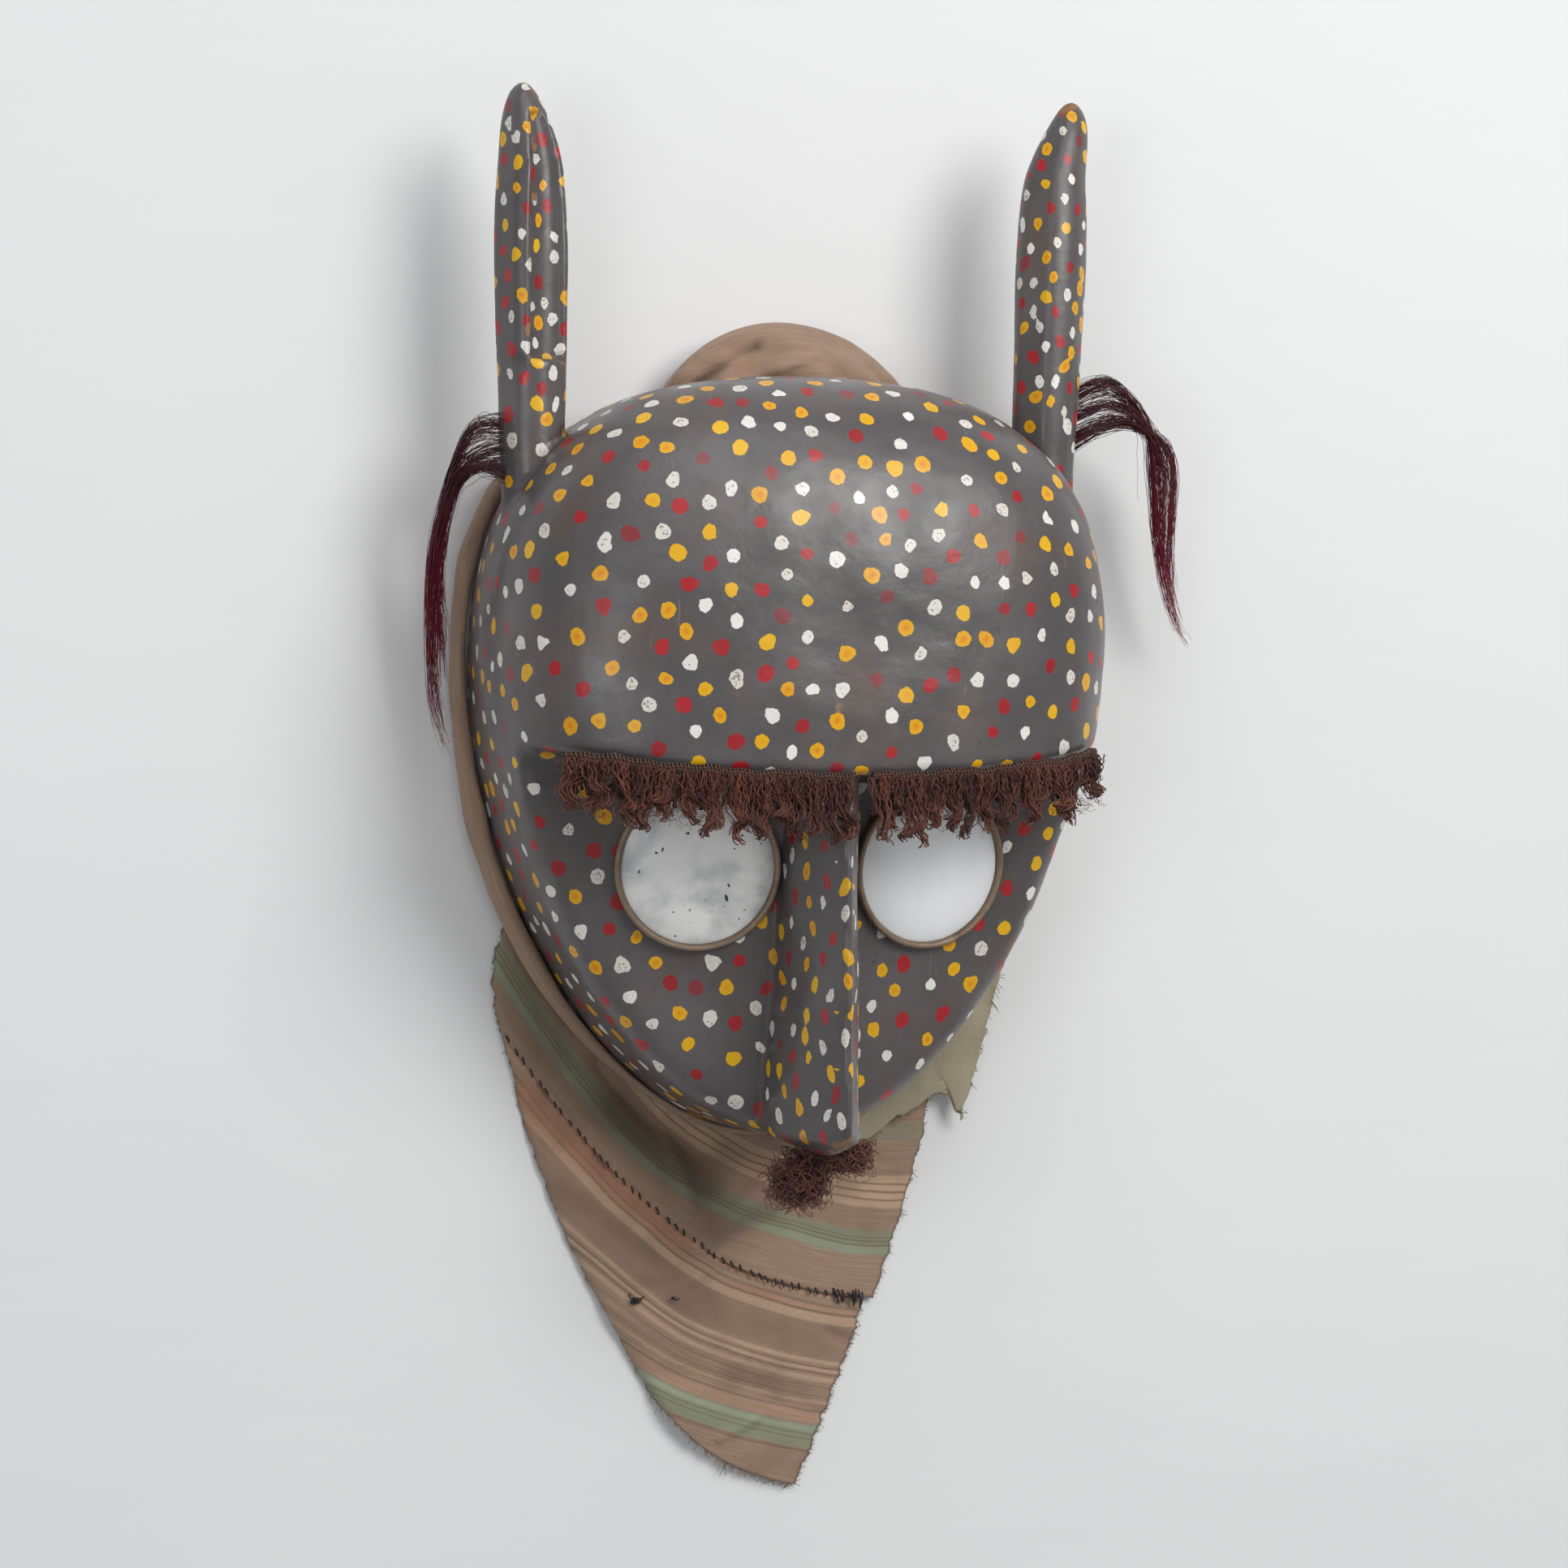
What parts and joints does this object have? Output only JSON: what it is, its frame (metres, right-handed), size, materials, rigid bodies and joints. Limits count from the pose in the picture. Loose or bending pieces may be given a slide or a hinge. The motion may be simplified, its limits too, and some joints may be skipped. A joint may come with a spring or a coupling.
{
  "type": "leopard mask",
  "caption": "Carved and painted wooden leopard mask with long ears and nose, mirror eyes, yarn brows and beard, hair tufts and a hanging striped hood cloth.",
  "frame": {"origin": "on the ground, under the middle of the whole mask as it lies on its back", "axes": "+X to the viewer's right, +Y from the chin towards the ears, +Z out of the face"},
  "size_m": [0.3374, 0.577, 0.1375],
  "materials": {
    "painted_wood": "satin grey paint with dabbed white, yellow and red spots, worn to brown wood on the edges",
    "mirror_glass": "polished, foxed and clouded in places",
    "mirror_frame": "dull tan lacquer on tin",
    "brown_yarn": "matted curly yarn",
    "dyed_hair": "maroon to crimson dyed hair",
    "hood_cotton": "worn handwoven cotton, tan with pink, beige and green stripes"
  },
  "bodies": {
    "root": {"carved_head": "painted_wood", "mirror_left": "mirror_glass", "mirror_frame_left": "mirror_frame", "mirror_right": "mirror_glass", "mirror_frame_right": "mirror_frame", "brow_fringe_left": "brown_yarn", "brow_fringe_right": "brown_yarn", "beard": "brown_yarn", "ear_tuft_left": "dyed_hair", "ear_tuft_right": "dyed_hair", "hood_rim": "hood_cotton", "hood_strip_upper": "hood_cotton", "hood_strip_lower": "hood_cotton"}
  },
  "joints": []
}
